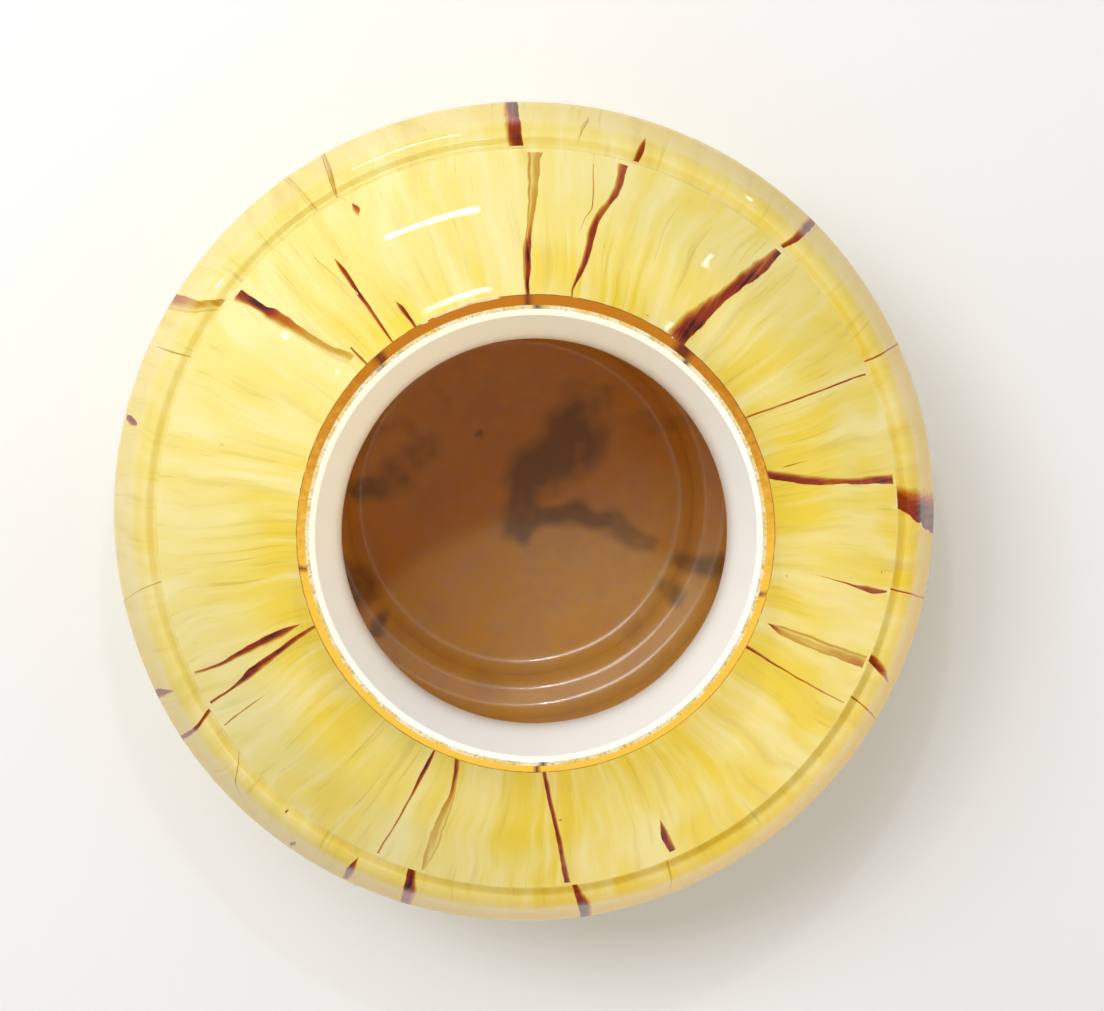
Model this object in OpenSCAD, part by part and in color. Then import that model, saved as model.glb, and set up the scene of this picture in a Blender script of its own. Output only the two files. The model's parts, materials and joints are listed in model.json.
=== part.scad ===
// Stepped globe lampshade in marbled cased glass, with an open lipped neck.
// Millimetres. +Z runs up the axis, from the closed base at z = 0 to the ground rim of the neck.
// The wall is three fused layers. Outside is the marbled casing, then a thin clear layer, and
// inside is the white opal lining. Dark glass trails lie in the skin of the casing.
// A trail's angle is in degrees clockwise from +Y, seen from above the neck.

/* [Overall] */
// Height from the flat base to the rim
height = 145; // [144:1:160]
// Diameter of the widest band
widest_d = 200; // [199:0.5:206]

/* [Neck] */
// Outside diameter of the lip, which the screws of a gallery hold
lip_d = 100; // [98:1:102]
// Height of the straight outside wall of the lip
lip_wall_h = 5.2; // [4:0.1:6]
// How far the lip stands proud of the neck below it
lip_proud = 4.2; // [2.5:0.1:4.5]
// Depth of the neck below the rim, down to the top of the shoulder
neck_h = 13; // [12:0.5:14]
// Inside diameter at the rim
rim_inside_d = 92; // [88:1:93]

/* [Glass layers] */
// Thickness of the marbled casing
casing_t = 2.2; // [1.8:0.1:2.6]
// Thickness of the clear layer
clear_t = 0.9; // [0.6:0.1:1.2]
// Thickness of the opal lining
opal_t = 1.4; // [1:0.1:1.6]
// Depth of the dark trails in the skin of the casing
trail_depth = 0.8; // [0.4:0.1:1.2]

/* [Tiers] */
// Diameter of the edge of the shoulder tier
shoulder_d = 171.4; // [166:0.2:172.6]
// Depth of that edge below the rim
shoulder_drop = 49.5; // [48:0.5:50]
// Height of the small riser under it
riser_h = 8; // [6:0.5:9]
// Diameter of the flat base
base_d = 100; // [94:1:104]
// Height of each of the two steps that ring the base
base_step_h = 8; // [7:0.25:8.5]

/* [Hidden] */

wall_t = casing_t + clear_t + opal_t;
lip_r = lip_d / 2;
neck_r = lip_r - lip_proud;
widest_r = widest_d / 2;
shoulder_r = shoulder_d / 2;
base_r = base_d / 2;

// Heights of the main levels
shoulder_z = height - shoulder_drop;
tread_z = shoulder_z - riser_h;
band_high_z = tread_z - 17;
band_low_z = band_high_z - 12;
low_tread_z = band_low_z - 9;
band_mid_z = (band_low_z + band_high_z) / 2;
neck_z = height - neck_h;
bevel = 0.3;
lip_low_z = height - bevel - lip_wall_h;

// Where the inside of the neck starts to flare, above its root, and how softly
flare_up = 4.5;
flare_r = 12;

// How rounding changes with depth in the glass. A bulging corner loses a share of the depth from
// its radius, down to a least radius that itself grows with depth. A hollow corner gains a share.
bulge_loss = 0.7;
least_r = 1;
least_gain = 0.75;
hollow_gain = 0.5;

// How far a cutter reaches past what it cuts
past = 1;

// Where a trail that runs on up the neck ends, out from the neck's wall, and how narrow it gets
run_on_gap = 0.5;
run_on_share = 0.6;

// Sides of a revolved shape, and the largest turn and length of one chord of a corner's arc
round_fn = 180;
chord_turn = 12;
chord_len = 3.5;

// Corners of the outside, from the base centre up to the neck: radius from the axis, height,
// radius of the rounding, and whether the corner carries through to the inside of the wall.
BODY = [
    [0, 0, 0, true],
    [base_r, 0, 5, true],
    [base_r + 1.5, base_step_h, 2.5, true],
    [base_r + 11, base_step_h + 1.5, 3, true],
    [base_r + 12.5, 2 * base_step_h + 1.5, 2.5, true],
    [widest_r - 20, low_tread_z - 26, 38, true],
    [widest_r - 13, low_tread_z - 6.5, 2.5, true],
    [widest_r - 11.5, low_tread_z, 2, true],
    [widest_r, band_low_z - 4, 9, true],
    [widest_r, band_high_z, 9, true],
    [widest_r - 7.5, tread_z - 1.4, 9, true],
    [widest_r - 10.6, tread_z + 0.5, 1, false],
    [shoulder_r + 2.2, tread_z - 0.2, 0.8, false],
    [shoulder_r + 0.9, tread_z, 1.2, true],
    [shoulder_r, shoulder_z, 1.6, true],
    [shoulder_r - 16.5, neck_z - 18.6, 45, true],
    [neck_r + 8.3, neck_z - 9.9, 25, true],
    [neck_r, neck_z, 4, true],
    [neck_r, lip_low_z - 2.2, 1.5, false]
];
LIP = [
    [lip_r, lip_low_z, 0, false],
    [lip_r, height - bevel, 0, false],
    [lip_r - bevel, height, 0, false]
];

// Heights between which each tier's trails lie
SHOULDER = [shoulder_z - 1, neck_z + 1];
BAND = [band_mid_z, tread_z + 2];
LOWER_SIDE = [2 * base_step_h + 2, band_mid_z];

// Trails: [radius, angle, width] at each station, from the outer end to the inner end.
// Those of a tier are given in order round it. The foot of the shoulder and the root of the neck
// are the ends of its tier.
foot_r = shoulder_r - 1;
root_r = neck_r + 6.7;
SHOULDER_TRAILS = [
    [[foot_r, 0.8, 3.0], [73, 0.2, 1.9], [66, -0.5, 1.2], [60, -1.2, 1.7], [root_r, -1.5, 0.9]],
    [[foot_r, 14.6, 2.2], [77, 14.3, 1.7], [69.3, 11.8, 1.9], [59.4, 10.9, 1.5], [root_r, 9.2, 0.5]],
    [[foot_r, 42.6, 1.8], [77, 41.6, 3.4], [66.7, 39.6, 2.9], [57.4, 37.6, 4.4], [root_r, 36.8, 4.7]],
    [[foot_r, 66.4, 0.5], [66.7, 64.6, 0.5], [root_r, 62.4, 0.5]],
    [[foot_r, 83.5, 2.4], [79.8, 83, 2.1], [71.8, 82.2, 1.4], [62.1, 80.5, 2.2], [root_r, 77, 2.1]],
    [[foot_r, 101.2, 0.5], [80.4, 101.3, 1.6], [74.4, 100.9, 0.6], [62.9, 99.7, 0]],
    [[foot_r, 113, 2.9], [77, 113, 2.7], [60.2, 112.8, 2], [55.8, 112.3, 0]],
    [[foot_r, 120.1, 0.5], [66.7, 119.9, 0.5], [root_r, 119.1, 0.9]],
    [[83.6, 156.6, 1.5], [78.1, 156.8, 1.9], [73, 156.5, 0]],
    [[foot_r, 174.1, 1.5], [69.3, 175.3, 1.1], [55, 177.3, 1.05], [root_r, 177.6, 1]],
    [[foot_r, 197.2, 0.8], [77, 197.1, 2.4], [66.7, 197.1, 2.1], [62.1, 196.8, 1.2], [root_r, 198.4, 1.2]],
    [[foot_r, 204.7, 0.5], [66.7, 204.2, 0.6], [58, 204.1, 1.1], [root_r, 204, 0.4]],
    [[foot_r, 240.5, 0.7], [77, 241.2, 0.7], [71, 242.4, 1.9], [62.1, 244, 1.4], [root_r, 245.9, 0.9]],
    [[foot_r, 245.8, 0.7], [77, 245.7, 0.9], [66.7, 246.8, 1.7], [59.8, 247.3, 1.7], [55, 247.7, 0]],
    [[foot_r, 307.8, 3], [77, 308.8, 2], [74.4, 309, 3], [62.1, 310.5, 2], [54, 313, 3.1]],
    [[74.4, 323.5, 0], [70.8, 323.5, 1.2], [65.8, 323.4, 1.1], [root_r, 323, 0.6]],
    [[83.4, 330.9, 0], [81.3, 330.9, 1.9], [79.5, 330.6, 0]],
    [[58, 328.7, 0], [56, 329, 1.1], [root_r, 329.6, 0.8]]
];

// Past the widest edge, and the seam where the band meets the riser
wide_r = widest_r + 1;
seam_r = shoulder_r + 1.6;
BAND_TRAILS = [
    [[93.8, 17.1, 0], [90, 16.8, 1.7], [seam_r, 16.6, 1.5]],
    [[wide_r, 44.1, 2.8], [91, 43.5, 2.1], [seam_r, 42.9, 1.1]],
    [[wide_r, 65.3, 0.5], [seam_r, 64.9, 0.5]],
    [[wide_r, 90.3, 12.5], [96, 89, 9.5], [91.3, 87.9, 7.6], [seam_r, 86.7, 5.5]],
    [[wide_r, 102.2, 0.5], [seam_r, 101, 0.5]],
    [[97, 115, 0], [94.5, 114.2, 1.5], [90.8, 113, 2.4], [seam_r, 112.2, 1.7]],
    [[wide_r, 121, 0.5], [seam_r, 119, 0.5]],
    [[97.5, 159.1, 0.6], [seam_r, 158, 0.6]],
    [[wide_r, 171.6, 2.4], [92.6, 171.8, 3.4], [89.9, 172.4, 2.1], [seam_r, 173, 1.4]],
    [[wide_r, 197.1, 3], [92.4, 197.8, 3.1], [seam_r, 198.5, 2]],
    [[98.8, 206.6, 1.7], [93, 206.8, 1.8], [89, 206.9, 0]],
    [[98.2, 215.7, 0.6], [97, 215.7, 1.3], [95.8, 215.6, 0.5]],
    [[wide_r, 237, 1.4], [92.4, 237.9, 1.1], [seam_r, 239.2, 0.9]],
    [[wide_r, 244.3, 3.4], [96, 244.3, 1.6], [92.8, 244.2, 0]],
    [[99, 283.9, 1.4], [97, 283.7, 2.2], [95, 283.5, 0.8]],
    [[wide_r, 301, 4.7], [92.4, 302.6, 3.4], [seam_r, 305, 3.2]],
    [[wide_r, 357.8, 3.1], [90, 357.7, 3.8], [seam_r, 358.1, 3.5]]
];

LOWER_TRAILS = [
    [[wide_r, 44.1, 2.8], [88, 45, 3.2], [76, 46, 2], [66, 46.5, 0]],
    [[wide_r, 65.3, 0.5], [88, 65.8, 0.6], [80, 66.4, 0]],
    [[wide_r, 90.3, 12.5], [92, 90.6, 8], [84, 91.5, 4], [68, 93, 0]],
    [[wide_r, 102.2, 0.5], [90, 102.6, 0.7], [82, 103, 0]],
    [[wide_r, 121, 0.5], [86, 121.5, 0.8], [74, 122, 0]],
    [[wide_r, 171.6, 2.4], [88, 171, 1.6], [76, 170.2, 1.9], [64.5, 169.6, 0]],
    [[wide_r, 197.1, 3], [90, 196.6, 3.4], [82, 196, 1.4], [72, 195.6, 0]],
    [[wide_r, 237, 1.4], [88, 236.2, 1.2], [77, 235.6, 1.7], [67, 235, 0]],
    [[wide_r, 244.3, 3.4], [94, 244.6, 2.2], [87.5, 245, 0]],
    [[wide_r, 301, 4.7], [89, 300, 3.8], [78, 299.4, 1.6], [68, 299, 0]],
    [[wide_r, 357.8, 3.1], [88, 357, 2], [76, 356.4, 2.4], [65, 356, 0]]
];

// The swirl: [x, y, width] along its centre line
SWIRL = [
    [-6, -4, 1], [-3, -1, 6], [2, 4, 10], [6, 9, 12],
    [11, 13, 11], [15, 18, 9], [20, 22, 6], [26, 24, 2]
];

function unit(v) = v / norm(v);
function left_of(v) = [-v[1], v[0]];
function turn_sign(a, b) = sign(a[0] * b[1] - a[1] * b[0]);
function flip(points) = [for (i = [len(points) - 1 : -1 : 0]) points[i]];
function deep_only(corners) = [for (c = corners) if (c[3]) c];

// One corner moved into the glass by t. The deeper it lies, the softer a tight corner is.
function moved_corner(prev, here, next, t) =
    let (
        n_in = left_of(unit([here[0] - prev[0], here[1] - prev[1]])),
        n_out = left_of(unit([next[0] - here[0], next[1] - here[1]])),
        shift = t * (n_in + n_out) / (1 + n_in * n_out),
        bulges = turn_sign(n_in, n_out) > 0,
        radius = bulges
            ? max(here[2] - bulge_loss * t, least_r + least_gain * t)
            : here[2] + hollow_gain * t
    )
    [here[0] + shift[0], here[1] + shift[1], radius];

// The body's deep corners moved by t. The first lies on the axis, and the last is the neck's root,
// above which the throat runs straight up.
function moved(corners, t) =
    let (
        last = len(corners) - 1,
        above = [neck_r, height]
    )
    [
        for (i = [0 : last])
            i == 0
                ? [0, corners[0][1] + t, 0]
                : moved_corner(corners[i - 1], corners[i], i == last ? above : corners[i + 1], t)
    ];

// The arc that rounds one corner, or the corner itself where it has no radius
function rounded_corner(prev, here, next) =
    let (
        d_in = unit([here[0] - prev[0], here[1] - prev[1]]),
        d_out = unit([next[0] - here[0], next[1] - here[1]]),
        turn = acos(max(-1, min(1, d_in * d_out))),
        side = turn_sign(d_in, d_out),
        radius = here[2],
        start = [here[0], here[1]] - d_in * radius * tan(turn / 2),
        centre = start + side * radius * left_of(d_in),
        steps = max(2, ceil(turn / chord_turn), ceil(radius * turn * PI / 180 / chord_len))
    )
    radius == 0 || turn < 0.5
        ? [[here[0], here[1]]]
        : [
            for (k = [0 : steps])
                let (a = side * turn * k / steps, v = start - centre)
                centre + [v[0] * cos(a) - v[1] * sin(a), v[0] * sin(a) + v[1] * cos(a)]
        ];

function rounded_path(corners) = [
    for (i = [0 : len(corners) - 1])
        let (last = len(corners) - 1)
        each i == 0 || i == last
            ? [[corners[i][0], corners[i][1]]]
            : rounded_corner(corners[i - 1], corners[i], corners[i + 1])
];

// How far the wall reaches in from the outside of the lip, at the rim
function rim_r(t) = lip_r - t * (lip_r - rim_inside_d / 2) / wall_t;

// The section path t below the outside. In the neck it runs up a straight throat and flares to the rim.
function wall_path(t) =
    t == 0
        ? rounded_path(concat(BODY, LIP))
        : rounded_path(concat(
            moved(deep_only(BODY), t),
            [[neck_r - t, neck_z + flare_up, flare_r], [rim_r(t), height, 0]]
        ));

module layer(outer_t, inner_t) {
    rotate_extrude($fn = round_fn)
        polygon(concat(wall_path(outer_t), flip(wall_path(inner_t))));
}

// The section of everything inside the path t below the outside, filled to the axis
module filled_section(t) {
    polygon(concat(wall_path(t), [[0, height]]));
}

// The ring between two heights that the trails of one tier are cut from. A pocket's ring runs on
// past the outside, and a trail's ring ends flush with it.
module tier_ring(tier, flush) {
    rotate_extrude($fn = round_fn)
        intersection() {
            difference() {
                translate([neck_r, tier[0]])
                    square([widest_r + past - neck_r, tier[1] - tier[0]]);
                filled_section(trail_depth);
            }
            if (flush) filled_section(0);
            else square([widest_r + past, height]);
        }
}

function on_plan(r, angle) = [r * sin(angle), r * cos(angle)];

// A point of a trail's edge, half its width to one side along the arc
function edge_point(station, side) =
    let (half_turn = station[2] / 2 / station[0] * 180 / PI)
    on_plan(station[0], station[1] + side * half_turn);

// A trail that reaches the root of the neck runs on up it
function run_on(stations) =
    let (last = stations[len(stations) - 1])
    last[0] == root_r
        ? concat(stations, [[neck_r + run_on_gap, last[1], run_on_share * last[2]]])
        : stations;

// One trail's outline in plan, from stations of radius, angle and width
module trail_outline(stations) {
    whole = run_on(stations);
    polygon(concat(
        [for (s = whole) edge_point(s, -1)],
        [for (s = flip(whole)) if (s[2] > 0) edge_point(s, 1)]
    ));
}

module tier_trails(tier, trails, flush = true) {
    intersection() {
        tier_ring(tier, flush);
        translate([0, 0, tier[0] - past])
            linear_extrude(tier[1] - tier[0] + 2 * past)
                for (stations = trails) trail_outline(stations);
    }
}

// The swirl under the base, as a plan outline either side of its centre line
module swirl_outline() {
    last = len(SWIRL) - 1;
    along = [for (i = [0 : last])
        let (a = SWIRL[max(0, i - 1)], b = SWIRL[min(last, i + 1)])
        unit([b[0] - a[0], b[1] - a[1]])
    ];
    near = [for (i = [0 : last]) [SWIRL[i][0], SWIRL[i][1]] + left_of(along[i]) * SWIRL[i][2] / 2];
    far = [for (i = [0 : last]) [SWIRL[i][0], SWIRL[i][1]] - left_of(along[i]) * SWIRL[i][2] / 2];
    polygon(concat(near, flip(far)));
}

module marbled_casing() {
    color("khaki")
        difference() {
            layer(0, casing_t);
            tier_trails(SHOULDER, SHOULDER_TRAILS, flush = false);
            tier_trails(BAND, BAND_TRAILS, flush = false);
            tier_trails(LOWER_SIDE, LOWER_TRAILS, flush = false);
            translate([0, 0, -past])
                linear_extrude(trail_depth + past)
                    swirl_outline();
        }
}

module clear_interlayer() {
    color("honeydew") layer(casing_t, casing_t + clear_t);
}

module opal_lining() {
    color("white") layer(casing_t + clear_t, wall_t);
}

module shoulder_trails() {
    color("maroon") tier_trails(SHOULDER, SHOULDER_TRAILS);
}

module band_trails() {
    color("maroon") tier_trails(BAND, BAND_TRAILS);
}

module lower_trails() {
    color("maroon") tier_trails(LOWER_SIDE, LOWER_TRAILS);
}

module base_swirl() {
    color("saddlebrown")
        linear_extrude(trail_depth)
            swirl_outline();
}

marbled_casing();
clear_interlayer();
opal_lining();
shoulder_trails();
band_trails();
lower_trails();
base_swirl();
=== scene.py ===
"""Looks of the stepped lampshade in marbled cased glass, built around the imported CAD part.

Lengths are in millimetres until a mesh is made, where MM turns them into metres. An angle is in
degrees clockwise from +Y, seen from above the neck. A trail's station is [radius, angle, width,
depth of colour], and its outline is the one that the CAD part has.
"""

import json
import math
import random

import bpy
from mathutils import Matrix, Vector, noise

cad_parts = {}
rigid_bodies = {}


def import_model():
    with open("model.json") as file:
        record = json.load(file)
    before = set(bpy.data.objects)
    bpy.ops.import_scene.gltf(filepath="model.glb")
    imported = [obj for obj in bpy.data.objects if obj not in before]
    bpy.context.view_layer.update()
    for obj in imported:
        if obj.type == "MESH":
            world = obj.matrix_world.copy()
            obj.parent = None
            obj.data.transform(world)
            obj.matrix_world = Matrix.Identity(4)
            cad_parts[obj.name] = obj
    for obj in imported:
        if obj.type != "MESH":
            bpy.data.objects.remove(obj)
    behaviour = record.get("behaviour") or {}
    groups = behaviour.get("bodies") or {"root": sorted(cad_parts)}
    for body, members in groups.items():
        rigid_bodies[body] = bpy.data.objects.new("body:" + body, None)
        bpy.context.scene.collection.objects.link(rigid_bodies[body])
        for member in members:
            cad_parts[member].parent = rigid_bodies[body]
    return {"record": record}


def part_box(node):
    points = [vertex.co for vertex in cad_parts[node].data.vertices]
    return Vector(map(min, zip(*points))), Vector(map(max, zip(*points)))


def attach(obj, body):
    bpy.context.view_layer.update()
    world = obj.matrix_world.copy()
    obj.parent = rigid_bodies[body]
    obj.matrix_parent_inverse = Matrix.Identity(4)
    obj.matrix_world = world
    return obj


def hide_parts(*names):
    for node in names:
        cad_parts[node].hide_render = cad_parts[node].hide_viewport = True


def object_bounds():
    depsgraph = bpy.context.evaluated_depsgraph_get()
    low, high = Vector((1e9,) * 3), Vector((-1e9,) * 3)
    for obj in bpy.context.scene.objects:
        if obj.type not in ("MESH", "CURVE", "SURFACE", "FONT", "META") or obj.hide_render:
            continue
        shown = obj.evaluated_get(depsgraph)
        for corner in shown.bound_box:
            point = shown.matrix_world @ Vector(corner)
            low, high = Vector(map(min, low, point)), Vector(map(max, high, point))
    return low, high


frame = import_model()
CAD_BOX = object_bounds()

MM = 0.001
RECORD = frame["record"]
LIP = next(m for m in RECORD["mounts"] if m["name"] == "gallery_lip")["dims"]

# ---------------------------------------------------------------- sizes, from the frame

HEIGHT = CAD_BOX[1].z / MM
WIDEST_R = CAD_BOX[1].x / MM
LIP_R = LIP["r_mm"]
LIP_WALL = LIP["length_mm"]
CASING_T = WIDEST_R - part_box("clear_interlayer")[1].x / MM
CLEAR_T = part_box("opal_lining")[0].z / MM - CASING_T
OPAL_T = 1.4
WALL_T = CASING_T + CLEAR_T + OPAL_T
SWIRL_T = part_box("base_swirl")[1].z / MM

NECK_R = LIP_R - 4.2
RIM_INSIDE_R = LIP_R - 4
SHOULDER_R = WIDEST_R - 14.3
BASE_R = WIDEST_R - 50
SHOULDER_Z = HEIGHT - 49.5
TREAD_Z = SHOULDER_Z - 8
BAND_HIGH_Z = TREAD_Z - 17
BAND_LOW_Z = BAND_HIGH_Z - 12
BAND_MID_Z = (BAND_HIGH_Z + BAND_LOW_Z) / 2
LOW_TREAD_Z = BAND_LOW_Z - 9
NECK_Z = HEIGHT - 13
BEVEL = 0.3
LIP_LOW_Z = HEIGHT - BEVEL - LIP_WALL
BASE_STEP = 8

# Corners of the outside, from the base centre up: radius from the axis, height, radius of the
# rounding, and whether the corner carries through to the inside of the wall
BODY = [
    (0, 0, 0, True),
    (BASE_R, 0, 5, True),
    (BASE_R + 1.5, BASE_STEP, 2.5, True),
    (BASE_R + 11, BASE_STEP + 1.5, 3, True),
    (BASE_R + 12.5, 2 * BASE_STEP + 1.5, 2.5, True),
    (WIDEST_R - 20, LOW_TREAD_Z - 26, 38, True),
    (WIDEST_R - 13, LOW_TREAD_Z - 6.5, 2.5, True),
    (WIDEST_R - 11.5, LOW_TREAD_Z, 2, True),
    (WIDEST_R, BAND_LOW_Z - 4, 9, True),
    (WIDEST_R, BAND_HIGH_Z, 9, True),
    (WIDEST_R - 7.5, TREAD_Z - 1.4, 9, True),
    (WIDEST_R - 10.6, TREAD_Z + 0.5, 1, False),
    (SHOULDER_R + 2.2, TREAD_Z - 0.2, 0.8, False),
    (SHOULDER_R + 0.9, TREAD_Z, 1.2, True),
    (SHOULDER_R, SHOULDER_Z, 1.6, True),
    (SHOULDER_R - 16.5, NECK_Z - 18.6, 45, True),
    (NECK_R + 8.3, NECK_Z - 9.9, 25, True),
    (NECK_R, NECK_Z, 4, True),
    (NECK_R, LIP_LOW_Z - 2.2, 1.5, False),
]
LIP_CORNERS = [
    (LIP_R, LIP_LOW_Z, 0),
    (LIP_R, HEIGHT - BEVEL, 0),
    (LIP_R - BEVEL, HEIGHT, 0),
]

# ---------------------------------------------------------------- the section


def unit(v):
    size = math.hypot(*v)
    return (v[0] / size, v[1] / size)


def left_of(v):
    return (-v[1], v[0])


def turn_sign(a, b):
    cross = a[0] * b[1] - a[1] * b[0]
    return (cross > 0) - (cross < 0)


def directions(before, here, after):
    """The unit directions into a corner and out of it."""
    d_in = unit((here[0] - before[0], here[1] - before[1]))
    d_out = unit((after[0] - here[0], after[1] - here[1]))
    return d_in, d_out


def moved_corner(before, here, after, t):
    """One corner moved into the glass by t. The deeper it lies, the softer a tight corner is."""
    n_in, n_out = (left_of(d) for d in directions(before, here, after))
    share = t / (1 + n_in[0] * n_out[0] + n_in[1] * n_out[1])
    bulges = turn_sign(n_in, n_out) > 0
    radius = max(here[2] - 0.7 * t, 1 + 0.75 * t) if bulges else here[2] + 0.5 * t
    return (here[0] + share * (n_in[0] + n_out[0]), here[1] + share * (n_in[1] + n_out[1]), radius)


def moved(corners, t):
    """The body's deep corners moved by t, with the neck's root last."""
    after = corners[1:] + [(NECK_R, HEIGHT)]
    return [(0, corners[0][1] + t, 0)] + [
        moved_corner(corners[i - 1], corners[i], after[i], t) for i in range(1, len(corners))
    ]


def rounded_corner(before, here, after, turn_step, chord):
    """The arc that rounds one corner, or the corner itself where it has no radius."""
    d_in, d_out = directions(before, here, after)
    turn = math.acos(max(-1.0, min(1.0, d_in[0] * d_out[0] + d_in[1] * d_out[1])))
    radius = here[2]
    if radius == 0 or turn < math.radians(0.5):
        return [(here[0], here[1])]
    side = turn_sign(d_in, d_out)
    back = radius * math.tan(turn / 2)
    start = (here[0] - d_in[0] * back, here[1] - d_in[1] * back)
    left = left_of(d_in)
    centre = (start[0] + side * radius * left[0], start[1] + side * radius * left[1])
    steps = max(2, math.ceil(turn / math.radians(turn_step)), math.ceil(radius * turn / chord))
    arc = []
    for k in range(steps + 1):
        a = side * turn * k / steps
        v = (start[0] - centre[0], start[1] - centre[1])
        arc.append(
            (
                centre[0] + v[0] * math.cos(a) - v[1] * math.sin(a),
                centre[1] + v[0] * math.sin(a) + v[1] * math.cos(a),
            )
        )
    return arc


def rounded_path(corners, turn_step, chord):
    """The corners joined into a path, with long straights cut to the chord's length."""
    points = [corners[0][:2]]
    for i in range(1, len(corners) - 1):
        points += rounded_corner(corners[i - 1], corners[i], corners[i + 1], turn_step, chord)
    points.append(corners[-1][:2])
    path = [points[0]]
    for p in points[1:]:
        q = path[-1]
        cuts = max(1, math.ceil(math.dist(p, q) / chord))
        path += [
            (q[0] + (p[0] - q[0]) * k / cuts, q[1] + (p[1] - q[1]) * k / cuts)
            for k in range(1, cuts + 1)
        ]
    return path


def rim_r(t):
    return LIP_R - t * (LIP_R - RIM_INSIDE_R) / WALL_T


def wall_path(t, turn_step=6, chord=2.2):
    """The section path t below the outside. In the neck it runs up the throat and flares out."""
    if t == 0:
        return rounded_path([c[:3] for c in BODY] + LIP_CORNERS, turn_step, chord)
    deep = [c for c in BODY if c[3]]
    neck = [(NECK_R - t, NECK_Z + 4.5, 12), (rim_r(t), HEIGHT, 0)]
    return rounded_path(moved(deep, t) + neck, turn_step, chord)


# ---------------------------------------------------------------- hand-made unevenness


def on_plan(r, angle):
    a = math.radians(angle)
    return r * math.sin(a), r * math.cos(a)


def wobble(angle, z):
    """How far the blown wall swells out of round here. Every layer shares it."""
    x, y = on_plan(1, angle)
    slow = noise.noise(Vector((2.1 * x, 2.1 * y, z / 38)))
    quick = noise.noise(Vector((7 * x + 9, 7 * y, z / 11)))
    fade = min(1.0, max(0.0, (HEIGHT - z) / 14))
    return (0.16 * slow + 0.035 * quick) * fade


def on_wall(r, angle, z):
    """The point of the uneven wall for a point of the true section, in metres."""
    x, y = on_plan(max(0.0, r + wobble(angle, z) * min(1.0, r / 30)), angle)
    return Vector((x, y, z)) * MM


# ---------------------------------------------------------------- meshes


def smooth_mesh(name, verts, faces, sharp=35):
    mesh = bpy.data.meshes.new(name)
    mesh.from_pydata(verts, [], faces)
    mesh.update()
    for polygon in mesh.polygons:
        polygon.use_smooth = True
    mesh.set_sharp_from_angle(angle=math.radians(sharp))
    obj = bpy.data.objects.new(name, mesh)
    bpy.context.scene.collection.objects.link(obj)
    return obj


def revolve(name, path, place, segments=320):
    """A shell from a closed section path that starts and ends on the axis. place gives each
    point of it from its radius, angle, height and place along the path."""
    verts = []
    faces = []
    rings = []
    for i, (r, z) in enumerate(path):
        if r < 0.01:
            rings.append([len(verts)] * segments)
            verts.append(place(0, 0, z, i))
        else:
            start = len(verts)
            rings.append([start + k for k in range(segments)])
            verts += [place(r, 360 * k / segments, z, i) for k in range(segments)]
    for low, high in zip(rings, rings[1:]):
        for k in range(segments):
            n = (k + 1) % segments
            corners = [low[k], low[n], high[n], high[k]]
            face = list(dict.fromkeys(corners))
            if len(face) > 2:
                faces.append(tuple(reversed(face)))
    return smooth_mesh(name, verts, faces)


def point_attribute(obj, name, values):
    layer = obj.data.attributes.new(name, "FLOAT", "POINT")
    layer.data.foreach_set("value", values)


def stand_in(obj, node, material):
    """Gives a finished piece its material, and puts it in its CAD node's place."""
    obj.data.materials.append(material)
    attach(obj, "root")
    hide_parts(node)
    return obj


# ---------------------------------------------------------------- node graphs


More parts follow.
